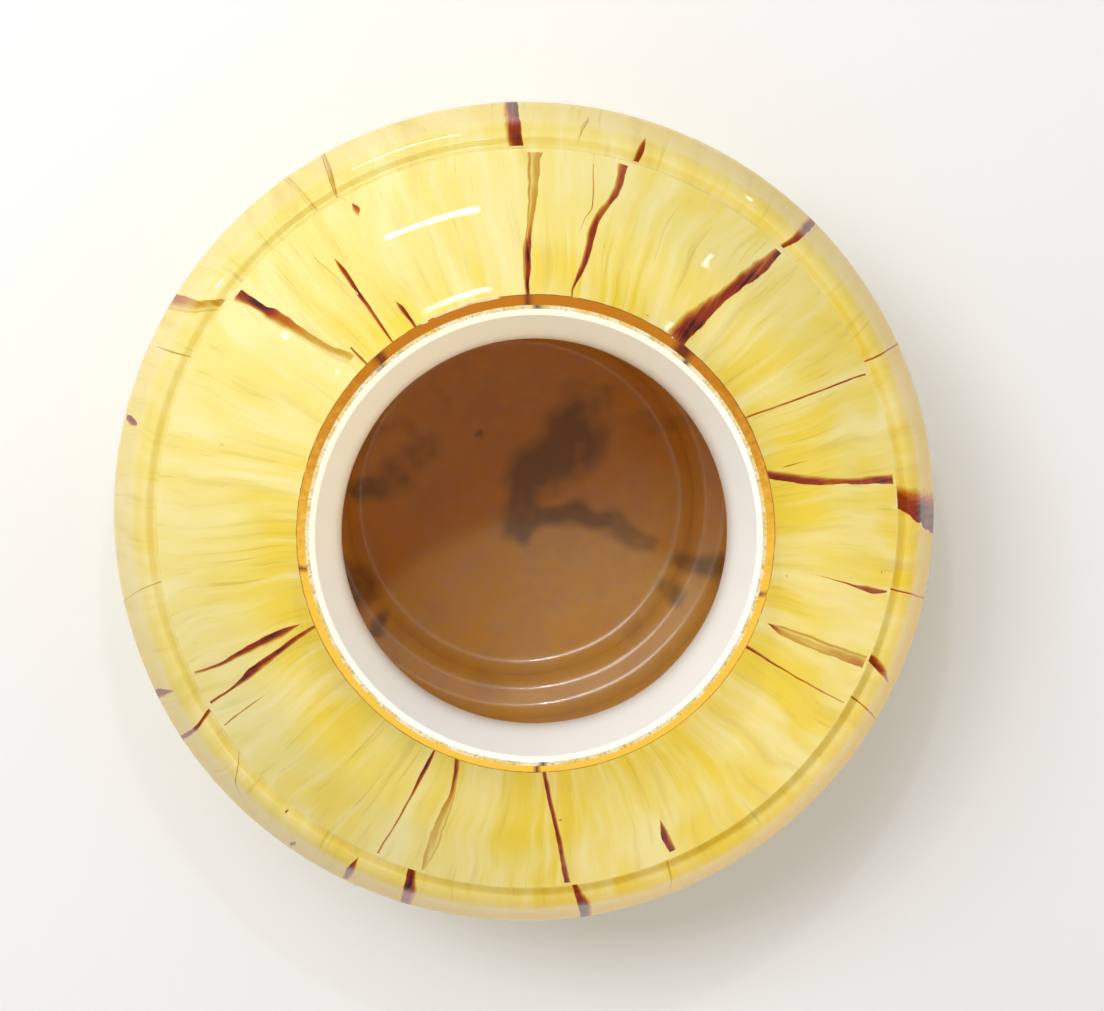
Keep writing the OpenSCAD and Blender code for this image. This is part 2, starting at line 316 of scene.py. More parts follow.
class Graph:
    """Short calls that build one material's nodes."""

    def __init__(self, name):
        self.material = bpy.data.materials.new(name)
        self.material.use_nodes = True
        self.nodes = self.material.node_tree.nodes
        self.links = self.material.node_tree.links
        self.shader = self.nodes["Principled BSDF"]

    def put(self, socket, value):
        if isinstance(value, bpy.types.NodeSocket):
            self.links.new(value, socket)
        elif value is not None:
            socket.default_value = value

    def add(self, kind, values=(), **settings):
        node = self.nodes.new(kind)
        for key, value in settings.items():
            setattr(node, key, value)
        for key, value in dict(values).items():
            self.put(node.inputs[key], value)
        return node

    def maths(self, operation, a, b=None, c=None, clamp=False):
        node = self.add("ShaderNodeMath", operation=operation, use_clamp=clamp)
        for socket, value in zip(node.inputs, (a, b, c)):
            self.put(socket, value)
        return node.outputs[0]

    def plus(self, a, b):
        return self.maths("ADD", a, b)

    def times(self, a, b):
        return self.maths("MULTIPLY", a, b)

    def vector(self, x, y, z):
        return self.add("ShaderNodeCombineXYZ", {"X": x, "Y": y, "Z": z}).outputs[0]

    def split(self, vector):
        return self.add("ShaderNodeSeparateXYZ", {"Vector": vector}).outputs[:3]

    def place(self):
        """The place in the row frame, in millimetres."""
        here = self.add("ShaderNodeTexCoord").outputs["Object"]
        node = self.add("ShaderNodeVectorMath", operation="SCALE")
        self.put(node.inputs[0], here)
        node.inputs["Scale"].default_value = 1 / MM
        return node.outputs[0]

    def noise(self, vector, scale, detail=2.0, rough=0.5, w=None):
        node = self.add("ShaderNodeTexNoise", noise_dimensions="3D" if w is None else "4D")
        values = {"Vector": vector, "Scale": scale, "Detail": detail, "Roughness": rough}
        for key, value in values.items():
            self.put(node.inputs[key], value)
        if w is not None:
            self.put(node.inputs["W"], w)
        return node.outputs["Fac"]

    def cells(self, vector, scale, feature="F1"):
        node = self.add("ShaderNodeTexVoronoi", feature=feature)
        self.put(node.inputs["Vector"], vector)
        node.inputs["Scale"].default_value = scale
        return node.outputs["Distance"], node.outputs["Color"]

    def step(self, value, low, high, to_low=0.0, to_high=1.0):
        """A smooth step of value from low to high."""
        node = self.add("ShaderNodeMapRange", interpolation_type="SMOOTHSTEP")
        for key, number in zip(
            ("Value", "From Min", "From Max", "To Min", "To Max"),
            (value, low, high, to_low, to_high),
        ):
            self.put(node.inputs[key], number)
        return node.outputs[0]

    def mix(self, factor, a, b, blend="MIX"):
        node = self.add("ShaderNodeMix", data_type="RGBA", blend_type=blend)
        self.put(node.inputs[0], factor)
        for socket, value in ((node.inputs[6], a), (node.inputs[7], b)):
            self.put(socket, (*value, 1) if isinstance(value, tuple) else value)
        return node.outputs[2]

    def attribute(self, name):
        return self.add("ShaderNodeAttribute", attribute_name=name).outputs["Fac"]

    def bump(self, height, distance, strength=1.0, normal=None):
        node = self.add("ShaderNodeBump", {"Height": height, "Strength": strength})
        node.inputs["Distance"].default_value = distance * MM
        if normal is not None:
            self.put(node.inputs["Normal"], normal)
        return node.outputs[0]

    def finish(self, **inputs):
        for key, value in inputs.items():
            socket = self.shader.inputs[key.replace("_", " ")]
            self.put(socket, (*value, 1) if isinstance(value, tuple) and len(value) == 3 else value)
        return self.material


# ---------------------------------------------------------------- materials

# Colours are linear
YELLOW = (0.84, 0.70, 0.20)
CREAM = (0.89, 0.80, 0.42)
DEEP_YELLOW = (0.83, 0.62, 0.05)
OCHRE = (0.56, 0.41, 0.06)
# Deeper yellow at the band's outer edge: partly the glass's own colour, partly painted shade
EDGE_GLASS_AND_SHADE_YELLOW = (0.62, 0.37, 0.008)
RIM_AMBER = (0.50, 0.17, 0.01)
RIM_HONEY = (0.88, 0.52, 0.06)
TRAIL_OLIVE = (0.56, 0.33, 0.03)
TRAIL_AMBER = (0.46, 0.12, 0.006)
TRAIL_RUST = (0.25, 0.020, 0.001)
TRAIL_DARK = (0.035, 0.001, 0.001)


def polar(g, place):
    """The height, the radius and the direction from the axis of the place."""
    x, y, z = g.split(place)
    flat = g.vector(x, y, 0.0)
    length = g.add("ShaderNodeVectorMath", operation="LENGTH")
    g.put(length.inputs[0], flat)
    r = g.maths("MAXIMUM", length.outputs["Value"], 0.5)
    return z, r, g.maths("DIVIDE", x, r), g.maths("DIVIDE", y, r)


def drawn_out(g, place, across, along, sway, seed=0.0):
    """Noise in strands that run from the base up to the neck. across is how many features go
    with one radian round the shade, and along how many with a millimetre of the way up it."""
    z, r, ux, uy = polar(g, place)
    lean = g.times(g.plus(g.noise(place, 0.03, 1.0), -0.5), sway)
    vx = g.maths("MULTIPLY_ADD", uy, g.times(lean, -1.0), ux)
    vy = g.maths("MULTIPLY_ADD", ux, lean, uy)
    way = g.vector(g.times(vx, across), g.times(vy, across), g.times(z, along))
    return g.noise(way, 1.0, 3.0, 0.5, w=g.maths("MULTIPLY_ADD", r, along, seed))


def marbling(g, place):
    """The casing's colour: cream clouds and strands in yellow glass, deeper near the neck. Painted
    shade deepens the yellow towards +X and -Y and at the band's outer edge.
    """
    z, r, ux, uy = polar(g, place)
    clouds = drawn_out(g, place, 9, 0.022, 0.22)
    strands = drawn_out(g, place, 26, 0.026, 0.12, 20.0)
    threads = drawn_out(g, place, 84, 0.038, 0.09, 40.0)
    near_neck = g.step(r, 80.0, 54.0, 0.0, 0.2)
    # Painted shade: the yellow deepens towards +X and -Y, the side away from the lamps
    painted_side_shade = g.maths("MULTIPLY_ADD", ux, 0.14, g.times(uy, -0.10))
    tone_and_side_shade = g.plus(g.noise(place, 0.03, 2.0), g.plus(near_neck, painted_side_shade))
    colour = g.mix(g.step(tone_and_side_shade, 0.40, 0.78), YELLOW, DEEP_YELLOW)
    colour = g.mix(g.times(g.step(clouds, 0.42, 0.70), 0.60), colour, CREAM)
    colour = g.mix(g.times(g.step(strands, 0.48, 0.72), 0.50), colour, CREAM)
    colour = g.mix(g.times(g.step(strands, 0.47, 0.26), 0.34), colour, OCHRE)
    thread = g.times(g.step(threads, 0.42, 0.26), g.step(clouds, 0.68, 0.40))
    colour = g.mix(g.times(thread, 0.55), colour, OCHRE)
    # At the band's outer edge: deeper glass with painted shade, and the shade is stronger towards
    # +X and -Y
    painted_edge_side = g.maths("MULTIPLY_ADD", g.maths("SUBTRACT", ux, uy), 0.27, 0.60)
    edge = g.times(g.step(r, WIDEST_R - 13, WIDEST_R - 1.5), painted_edge_side)
    return g.mix(edge, colour, EDGE_GLASS_AND_SHADE_YELLOW)


def specks(g, place, colour):
    """A few dark seeds in the glass."""
    distance, tint = g.cells(place, 0.16)
    rare = g.step(g.split(tint)[0], 0.955, 0.965)
    seed = g.times(g.step(distance, 0.075, 0.03), rare)
    return g.mix(g.times(seed, 0.75), colour, (0.22, 0.12, 0.03))


def glints(g, place):
    """Height of the small bubbles that just lift the glass."""
    distance, tint = g.cells(place, 0.55)
    rare = g.step(g.split(tint)[1], 0.93, 0.95)
    return g.times(g.step(distance, 0.22, 0.05), rare)


def polished(g, place):
    """The normal of the blown, fire-polished glass."""
    ripple = g.noise(place, 0.11, 1.5)
    skin = g.noise(place, 0.9, 2.0)
    normal = g.bump(ripple, 0.22, 0.6)
    normal = g.bump(skin, 0.01, 0.5, normal)
    return g.bump(glints(g, place), 0.12, 0.8, normal)


def glass_finish(g, place, colour):
    smear = g.noise(place, 0.05, 4.0, 0.7)
    return g.finish(
        Base_Color=colour,
        Roughness=g.step(smear, 0.35, 0.75, 0.03, 0.10),
        IOR=1.45,
        Normal=polished(g, place),
    )


def casing_glass():
    g = Graph("marbled glass casing")
    place = g.place()
    z, r, ux, uy = polar(g, place)
    colour = specks(g, place, marbling(g, place))
    ring = g.vector(g.times(ux, 24.0), g.times(uy, 24.0), g.times(z, 0.6))
    rough_edge = g.times(g.plus(g.noise(ring, 1.0, 3.0), -0.5), 0.5)
    rim = g.step(g.plus(z, rough_edge), HEIGHT - 0.75, HEIGHT - 0.35)
    grain = g.noise(place, 0.6, 3.0, 0.6)
    amber = g.mix(g.step(g.plus(uy, grain), 1.3, 0.1), RIM_AMBER, RIM_HONEY)
    edge = g.step(g.plus(r, g.times(rough_edge, 0.6)), LIP_R - 0.45, LIP_R - 0.1)
    amber = g.mix(g.times(edge, 0.7), amber, (0.20, 0.07, 0.01))
    stain = g.attribute("stain")
    amber = g.mix(stain, amber, (0.16, 0.035, 0.012))
    colour = g.mix(rim, colour, amber)
    material = glass_finish(g, place, colour)
    return material


def trail_glass(name):
    """Dark glass trailed into the casing. Across a trail the colour comes up slowly from its
    counter-clockwise side and ends sharply on the other."""
    g = Graph(name)
    place = g.place()
    base = specks(g, place, marbling(g, place))
    half = g.maths("MAXIMUM", g.attribute("half"), 0.02)
    across = g.attribute("across")
    depth = g.attribute("depth")
    hollow = g.attribute("hollow")
    ragged = g.plus(drawn_out(g, place, 60, 0.2, 0.05, 80.0), -0.5)
    across = g.plus(across, g.times(ragged, g.maths("MULTIPLY_ADD", half, 0.45, 0.05)))
    t = g.maths("DIVIDE", across, half)
    soft_side = g.step(t, -1.3, g.maths("MULTIPLY_ADD", depth, -0.55, 0.65))
    sharp_side = g.step(across, g.plus(half, 0.10), g.plus(half, -0.16))
    body = g.times(soft_side, sharp_side)
    wall = g.times(g.step(g.maths("ABSOLUTE", t), 0.35, 0.85), sharp_side)
    streaks = drawn_out(g, place, 110, 0.05, 0.08, 60.0)
    pools = g.noise(place, 0.13, 2.0)
    body = g.times(body, g.step(streaks, 0.25, 0.65, 0.66, 1.0))
    body = g.times(body, g.step(pools, 0.32, 0.62, 0.80, 1.08))
    amount = g.times(body, depth)
    walls = g.times(g.times(wall, hollow), 0.45)
    amount = g.maths("MAXIMUM", amount, g.times(walls, g.step(t, -1.3, -0.9)))
    colour = g.mix(g.step(amount, 0.02, 0.26), base, TRAIL_OLIVE)
    colour = g.mix(g.step(amount, 0.22, 0.46), colour, TRAIL_AMBER)
    colour = g.mix(g.step(amount, 0.42, 0.74), colour, TRAIL_RUST)
    colour = g.mix(g.step(amount, 0.76, 1.02), colour, TRAIL_DARK)
    return glass_finish(g, place, colour)


def swirl_glass():
    """The dark pool under the base, amber at its ragged edge."""
    g = Graph("base swirl glass")
    place = g.place()
    base = marbling(g, place)
    cloud = g.plus(g.times(g.noise(place, 0.35, 4.0, 0.6), 0.5), g.attribute("inward"))
    colour = g.mix(g.step(cloud, 0.22, 0.5), base, TRAIL_AMBER)
    colour = g.mix(g.step(cloud, 0.45, 0.85), colour, TRAIL_RUST)
    colour = g.mix(g.step(cloud, 0.8, 1.2), colour, TRAIL_DARK)
    return glass_finish(g, place, colour)


def interlayer_glass():
    """The thin clear layer, seen edge on at the rim: pale, with short flakes."""
    g = Graph("clear interlayer glass")
    place = g.place()
    z, r, ux, uy = polar(g, place)
    ring = g.vector(g.times(ux, 30.0), g.times(uy, 30.0), g.times(r, 0.5))
    wide = g.noise(ring, 0.55, 2.0)
    fine = g.noise(ring, 1.6, 3.0, 0.6)
    colour = g.mix(g.step(wide, 0.38, 0.62), (0.74, 0.56, 0.17), (0.80, 0.75, 0.52))
    colour = g.mix(g.times(g.step(fine, 0.52, 0.66), 0.8), colour, (0.44, 0.37, 0.17))
    colour = g.mix(g.times(g.step(fine, 0.44, 0.32), 0.85), colour, (0.60, 0.34, 0.04))
    colour = g.mix(g.attribute("stain"), colour, (0.10, 0.05, 0.04))
    return g.finish(
        Base_Color=colour,
        Roughness=g.step(fine, 0.3, 0.7, 0.22, 0.42),
        IOR=1.5,
        Coat_Weight=0.3,
        Coat_Roughness=0.1,
        Normal=g.bump(fine, 0.05, 0.4),
    )


NECK_WHITE = (0.95, 0.93, 0.88)
# Painted warm light on the neck's +Y and -X side
NECK_PAINTED_WARM_LIGHT = (0.93, 0.84, 0.64)
# The bowl's colours are painted light: amber light that comes through the casing onto the white
# opal
BOWL_PAINTED_AMBER_LIGHT = (0.97, 0.55, 0.07)
BOWL_LIGHT = (0.97, 0.62, 0.15)
BOWL_HAZE = (0.86, 0.55, 0.30)
BOWL_STAIN = (0.78, 0.44, 0.19)
BOWL_PAINTED_SHADOW = (0.30, 0.20, 0.085)


def lining_glass():
    """The opal lining. In the neck it is white, with painted warm light towards +Y and -X. In the
    bowl it is painted amber-brown for the light that comes in through the casing, with painted
    shadows of the dark glass as blurred blotches.
    """
    g = Graph("opal lining glass")
    place = g.place()
    z, r, ux, uy = polar(g, place)
    mottle = g.noise(place, 0.045, 4.0, 0.6)
    fine = g.noise(place, 0.25, 4.0, 0.65)
    # Painted light: the bowl's white opal is coloured amber-brown for the light through the amber
    # casing. Mottle, haze and stains vary that colour
    bowl = g.mix(g.step(mottle, 0.35, 0.68), BOWL_PAINTED_AMBER_LIGHT, BOWL_LIGHT)
    bowl = g.mix(g.times(g.step(fine, 0.46, 0.72), 0.45), bowl, BOWL_HAZE)
    blotch = g.attribute("blotch")
    stained = g.noise(place, 0.10, 3.0, 0.55)
    bowl = g.mix(g.times(g.step(stained, 0.40, 0.74), 0.42), bowl, BOWL_STAIN)
    # Painted shadows of the dark glass outside, with torn edges
    torn = g.times(blotch, g.step(g.noise(place, 0.09, 2.5, 0.55), 0.30, 0.62, 0.55, 1.12))
    shade = g.step(torn, 0.0, 1.0)
    bowl = g.mix(g.times(shade, 0.88), bowl, BOWL_PAINTED_SHADOW)
    # Painted warm light: the neck's white turns cream towards +Y and -X, for light from the bowl
    # falling on that side of the neck
    painted_warm_side = g.plus(g.maths("SUBTRACT", uy, g.times(ux, 0.6)), mottle)
    neck = g.mix(g.step(painted_warm_side, -0.2, 1.9), NECK_WHITE, NECK_PAINTED_WARM_LIGHT)
    # The neck's white and the bowl's painted amber light are the same opal glass, split by height
    colour = g.mix(g.step(z, NECK_Z - 3, NECK_Z - 10), neck, bowl)
    ripple = g.bump(g.noise(place, 0.12, 2.0), 0.18, 0.5)
    grain = g.bump(g.noise(place, 1.3, 3.0), 0.02, 0.4, ripple)
    return g.finish(
        Base_Color=colour,
        Roughness=g.step(z, NECK_Z - 3, NECK_Z - 10, 0.30, 0.14),
        IOR=1.5,
        Coat_Weight=1.0,
        Coat_Roughness=0.5,
        Coat_IOR=1.7,
        Normal=grain,
    )


# ---------------------------------------------------------------- the layers

# Where a trail stains the ground rim: angle and half width
RIM_STAINS = [(38.5, 2.0), (318.6, 1.1), (357.8, 0.8), (180, 0.6), (105, 0.4), (262, 0.4)]
INTERLAYER_STAINS = [(0.5, 0.8), (178.5, 0.6), (41, 0.8), (317, 0.7)]


def angle_gap(a, b):
    return abs((a - b + 180) % 360 - 180)


def angle_of(x, y):
    return math.degrees(math.atan2(x, y))


def stain_values(obj, stains):
    """How much each point of a layer is stained, by its angle."""
    values = []
    for v in obj.data.vertices:
        angle = angle_of(v.co.x, v.co.y)
        best = 0.0
        for centre, half in stains:
            best = max(best, min(1.0, max(0.0, 1.6 - angle_gap(angle, centre) / half)))
        values.append(best)
    point_attribute(obj, "stain", values)


def rim_chip(angle):
    """How far the outer edge of the ground rim is worn back."""
    x, y = on_plan(1, angle)
    wave = noise.noise(Vector((22 * x, 22 * y, 3.0)))
    nick = noise.noise(Vector((41 * x, 41 * y, 8.0)))
    return 0.10 + 0.10 * wave + 0.9 * max(0.0, nick - 0.42)


# The layers under the casing sit a little off centre in the neck, so the amber edge is widest
# towards the back
LAYER_SHIFT = -0.4


def shifted(point, z):
    near_rim = min(1.0, max(0.0, (z - NECK_Z + 6) / 12))
    return point + Vector((0, LAYER_SHIFT * near_rim, 0)) * MM


def layer_path(outer_t, inner_t, chord=2.2):
    """The closed section of a layer, and how many of its points are its outside."""
    outside = wall_path(outer_t)
    inside = wall_path(inner_t, chord=chord)
    return outside + inside[::-1], len(outside)


def make_casing():
    path, outside = layer_path(0, CASING_T)

    def place(r, angle, z, i):
        on_edge = i < outside and z > HEIGHT - 2 * BEVEL and r > LIP_R - 2 * BEVEL
        point = on_wall(r - (rim_chip(angle) if on_edge else 0), angle, z)
        return point if i < outside else shifted(point, z)

    obj = revolve("glass_casing", path, place)
    stain_values(obj, RIM_STAINS)
    return stand_in(obj, "marbled_casing", casing_glass())


def make_interlayer():
    path, _ = layer_path(CASING_T, CASING_T + CLEAR_T)
    obj = revolve(
        "glass_interlayer", path, lambda r, a, z, i: shifted(on_wall(r, a, z), z), segments=240
    )
    stain_values(obj, INTERLAYER_STAINS)
    return stand_in(obj, "clear_interlayer", interlayer_glass())


# Painted shadows inside the bowl: the dark glass of the casing, seen blurred through the lining as
# the shade it casts in the light that comes through the wall. Strokes of places in plan with a half
# width at each end, and how dark they are
PAINTED_TRAIL_SHADOWS = [
    ([(-0.5, -8), (-0.5, -3), (1, 3), (5, 9)], 4.0, 7.0, 0.95),
    ([(5, 9), (10, 12), (14, 15), (15.5, 20)], 7.0, 8.0, 1.0),
    ([(15.5, 20), (15, 25)], 6.5, 3.5, 0.8),
    ([(11, 31), (16, 33), (21, 31), (23, 27)], 1.6, 2.0, 0.3),
    ([(0, -8), (5, -5), (12, -3), (18, -3.5), (23, -5)], 3.0, 3.2, 0.8),
    ([(23, -5), (29, -8), (35, -11)], 3.4, 2.6, 0.6),
    ([(23, 31), (25, 26), (28, 23), (36, 21.5), (45, 22)], 1.8, 3.0, 0.4),
    ([(-44, 2), (-39, 4), (-34, 8)], 3.2, 4.2, 0.75),
    ([(-28, 12), (-25, 15)], 4.0, 4.0, 0.65),
    ([(-27, 17), (-32, 22), (-39, 20), (-43, 14)], 2.2, 1.8, 0.35),
    ([(-23, 20), (-20, 27), (-25, 33)], 2.2, 1.6, 0.25),
    ([(-46, -20), (-43, -25)], 4.6, 4.4, 0.85),
    ([(-37.5, -32), (-37.5, -34)], 2.2, 2.2, 0.9),
    ([(40, -23), (42, -25)], 3.2, 3.0, 0.75),
    ([(45, -16), (51, -17), (57, -17.5)], 3.2, 4.0, 0.75),
    ([(-12, -48), (-5, -50)], 3.4, 3.6, 0.3),
    ([(-11, 18.5), (-11, 19.5)], 0.9, 0.9, 1.0),
    ([(30, -36), (33, -33)], 2.2, 1.8, 0.3),
]


def stroke_gap(x, y, places, start, end):
    """How many half widths away a stroke's centre line is. Its width goes from start to end."""
    best = math.inf
    pieces = len(places) - 1
    for i, ((ax, ay), (bx, by)) in enumerate(zip(places, places[1:])):
        dx, dy = bx - ax, by - ay
        u = ((x - ax) * dx + (y - ay) * dy) / (dx * dx + dy * dy)
        u = min(1.0, max(0.0, u))
        half = start + (end - start) * (i + u) / pieces
        best = min(best, math.hypot(x - ax - u * dx, y - ay - u * dy) / half)
    return best


def painted_shadow_at(x, y):
    """How dark the painted shadow in the bowl is at a place in plan."""
    warp = noise.noise_vector(Vector((x / 7, y / 7, 2.0))) * 2.4
    total = 0.0
    for places, start, end, strength in PAINTED_TRAIL_SHADOWS:
        gap = stroke_gap(x + warp.x, y + warp.y, places, start, end)
        total = max(total, strength * min(1.0, max(0.0, 1.5 - gap)))
    return total


def make_lining():
    path, _ = layer_path(CASING_T + CLEAR_T, WALL_T, 1.5)
    obj = revolve("glass_lining", path, lambda r, a, z, i: shifted(on_wall(r, a, z), z), 300)
    # The painted shadows go on the lining below 50 mm
    values = [
        painted_shadow_at(v.co.x / MM, v.co.y / MM) if v.co.z < 0.05 else 0.0 for v in obj.data.vertices
    ]
    point_attribute(obj, "blotch", values)
    return stand_in(obj, "opal_lining", lining_glass())


# ---------------------------------------------------------------- the trails

FOOT_R = SHOULDER_R - 1
ROOT_R = NECK_R + 6.7
WIDE_R = WIDEST_R + 1
SEAM_R = SHOULDER_R + 1.6

# Stations of radius, angle, width and depth of colour, then how hollow the trail looks
SHOULDER_TRAILS = [
    ([[FOOT_R, 0.8, 3.0, 0.28], [73, 0.2, 1.9, 0.30], [66, -0.5, 1.2, 0.5],
      [60, -1.2, 1.7, 1.0], [ROOT_R, -1.5, 0.9, 1.0]], 0.7),
    ([[FOOT_R, 14.6, 2.2, 0.9], [77, 14.3, 1.7, 0.75], [69.3, 11.8, 1.9, 0.75],
      [59.4, 10.9, 1.5, 0.85], [ROOT_R, 9.2, 0.5, 0.8]], 0),
    ([[FOOT_R, 42.6, 1.8, 0.9], [77, 41.6, 3.4, 0.95], [66.7, 39.6, 2.9, 0.9],
      [57.4, 37.6, 4.4, 1.0], [ROOT_R, 36.8, 4.7, 1.0]], 0),
    ([[FOOT_R, 66.4, 0.5, 0.85], [66.7, 64.6, 0.5, 0.7], [ROOT_R, 62.4, 0.5, 0.6]], 0),
    ([[FOOT_R, 83.5, 2.4, 1.0], [79.8, 83, 2.1, 0.95], [71.8, 82.2, 1.4, 0.85],
      [62.1, 80.5, 2.2, 0.75], [ROOT_R, 77, 2.1, 0.9]], 0),
    ([[FOOT_R, 101.2, 0.5, 0.9], [80.4, 101.3, 1.6, 1.0], [74.4, 100.9, 0.6, 0.8],
      [62.9, 99.7, 0, 0.7]], 0),
    ([[FOOT_R, 113, 2.9, 0.45], [77, 113, 2.7, 0.32], [60.2, 112.8, 2, 0.35],
      [55.8, 112.3, 0, 1.0]], 0.6),
    ([[FOOT_R, 120.1, 0.5, 0.4], [66.7, 119.9, 0.5, 0.6], [ROOT_R, 119.1, 0.9, 0.9]], 0),
    ([[83.6, 156.6, 1.5, 1.0], [78.1, 156.8, 1.9, 1.0], [73, 156.5, 0, 0.6]], 0),
    ([[FOOT_R, 174.1, 1.5, 0.95], [69.3, 175.3, 1.1, 0.95], [55, 177.3, 1.05, 0.9],
      [ROOT_R, 177.6, 1, 0.9]], 0),
    ([[FOOT_R, 197.2, 0.8, 0.35], [77, 197.1, 2.4, 0.25], [66.7, 197.1, 2.1, 0.25],
      [62.1, 196.8, 1.2, 0.5], [ROOT_R, 198.4, 1.2, 1.0]], 0.4),
    ([[FOOT_R, 204.7, 0.5, 0.5], [66.7, 204.2, 0.6, 0.6], [58, 204.1, 1.1, 1.0],
      [ROOT_R, 204, 0.4, 0.7]], 0),
    ([[FOOT_R, 240.5, 0.7, 0.9], [77, 241.2, 0.7, 0.9], [71, 242.4, 1.9, 1.0],
      [62.1, 244, 1.4, 0.9], [ROOT_R, 245.9, 0.9, 0.75]], 0),
    ([[FOOT_R, 245.8, 0.7, 0.55], [77, 245.7, 0.9, 0.7], [66.7, 246.8, 1.7, 1.0],
      [59.8, 247.3, 1.7, 0.95], [55, 247.7, 0, 0.8]], 0),
    ([[FOOT_R, 307.8, 3, 0.95], [77, 308.8, 2, 1.0], [74.4, 309, 3, 0.7],
      [62.1, 310.5, 2, 0.35], [54, 313, 3.1, 0.22]], 0.25),
    ([[74.4, 323.5, 0, 0.4], [70.8, 323.5, 1.2, 0.8], [65.8, 323.4, 1.1, 0.9],
      [ROOT_R, 323, 0.6, 0.8]], 0),
    ([[83.4, 330.9, 0, 0.9], [81.3, 330.9, 1.9, 0.6], [79.5, 330.6, 0, 0.3]], 0),
    ([[58, 328.7, 0, 0.7], [56, 329, 1.1, 0.9], [ROOT_R, 329.6, 0.8, 1.0]], 0),
    # Hairlines
    ([[83, 10.0, 0.25, 0.5], [72, 10.7, 0.3, 0.6], [69, 9.7, 0.25, 0.5], [64, 8.9, 0, 0.3]], 0),
    ([[63, 76.5, 0, 0.5], [58, 76.5, 0.4, 0.6], [56, 76.6, 0, 0.5]], 0),
    ([[FOOT_R, 236.4, 0.4, 0.55], [76, 237.2, 0.4, 0.5], [69, 237.8, 0, 0.4]], 0),
    ([[56, 314.7, 0.5, 0.7], [ROOT_R, 314.7, 0.7, 0.8]], 0),
    ([[80, 320.5, 0, 0.2], [72, 321.5, 0.5, 0.25], [64, 322.8, 0, 0.2]], 0),
]

BAND_TRAILS = [
    ([[93.8, 17.1, 0, 0.8], [90, 16.8, 1.7, 1.0], [SEAM_R, 16.6, 1.5, 0.95]], 0),
    ([[WIDE_R, 44.1, 2.8, 0.9], [91, 43.5, 2.1, 1.0], [SEAM_R, 42.9, 1.1, 0.9]], 0),
    ([[WIDE_R, 65.3, 0.5, 0.85], [SEAM_R, 64.9, 0.5, 0.8]], 0),
    ([[WIDE_R, 90.3, 12.5, 0.95], [96, 89, 9.5, 1.0], [91.3, 87.9, 7.6, 1.0],
      [SEAM_R, 86.7, 5.5, 1.0]], 0),
    ([[WIDE_R, 102.2, 0.5, 0.85], [SEAM_R, 101, 0.5, 0.8]], 0),
    ([[97, 115, 0, 0.35], [94.5, 114.2, 1.5, 0.5], [90.8, 113, 2.4, 0.85],
      [SEAM_R, 112.2, 1.7, 1.0]], 0),
    ([[WIDE_R, 121, 0.5, 0.75], [SEAM_R, 119, 0.5, 0.75]], 0),
    ([[97.5, 159.1, 0.6, 0.35], [SEAM_R, 158, 0.6, 0.35]], 0),
    ([[WIDE_R, 171.6, 2.4, 1.0], [92.6, 171.8, 3.4, 1.0], [89.9, 172.4, 2.1, 0.9],
      [SEAM_R, 173, 1.4, 0.9]], 0),
    ([[WIDE_R, 197.1, 3, 0.85], [92.4, 197.8, 3.1, 1.0], [SEAM_R, 198.5, 2, 1.0]], 0),
    ([[98.8, 206.6, 1.7, 0.8], [93, 206.8, 1.8, 1.0], [89, 206.9, 0, 0.8]], 0),
    ([[98.2, 215.7, 0.6, 0.8], [97, 215.7, 1.3, 1.0], [95.8, 215.6, 0.5, 0.8]], 0),
    ([[WIDE_R, 237, 1.4, 0.9], [92.4, 237.9, 1.1, 0.9], [SEAM_R, 239.2, 0.9, 0.85]], 0),
    ([[WIDE_R, 244.3, 3.4, 0.95], [96, 244.3, 1.6, 0.9], [92.8, 244.2, 0, 0.8]], 0),
    ([[99, 283.9, 1.4, 0.9], [97, 283.7, 2.2, 1.0], [95, 283.5, 0.8, 0.9]], 0),
    ([[WIDE_R, 301, 4.7, 0.6], [92.4, 302.6, 3.4, 0.32], [SEAM_R, 305, 3.2, 0.3]], 0.35),
    ([[WIDE_R, 357.8, 3.1, 1.0], [90, 357.7, 3.8, 1.0], [SEAM_R, 358.1, 3.5, 1.0]], 0),
    # Hairlines
    ([[96.5, 8.8, 0, 0.3], [94, 8.3, 1.0, 0.35], [SEAM_R + 1, 7.3, 0, 0.3]], 0.5),
    ([[97.6, 222, 0.3, 0.4], [95, 226.5, 0.5, 0.45], [90, 229.5, 0.5, 0.45],
      [SEAM_R, 231.3, 0.3, 0.4]], 0),
    ([[WIDE_R, 257.4, 0.4, 0.3], [SEAM_R, 260.4, 0.4, 0.3]], 0),
    ([[97, 294.8, 0.4, 0.3], [92, 295.2, 0.6, 0.4], [SEAM_R, 295.8, 0.3, 0.35]], 0),
    ([[WIDE_R, 324.3, 1.4, 0.2], [SEAM_R, 325.5, 1.2, 0.2]], 0.3),
    ([[WIDE_R, 330.9, 0.8, 0.3], [93, 330.1, 1.3, 0.35], [SEAM_R, 329.3, 0.5, 0.3]], 0.8),
    ([[90, 219.6, 0.0, 0.7], [89.3, 219.6, 0.6, 0.7], [88.6, 219.6, 0.0, 0.7]], 0),
]

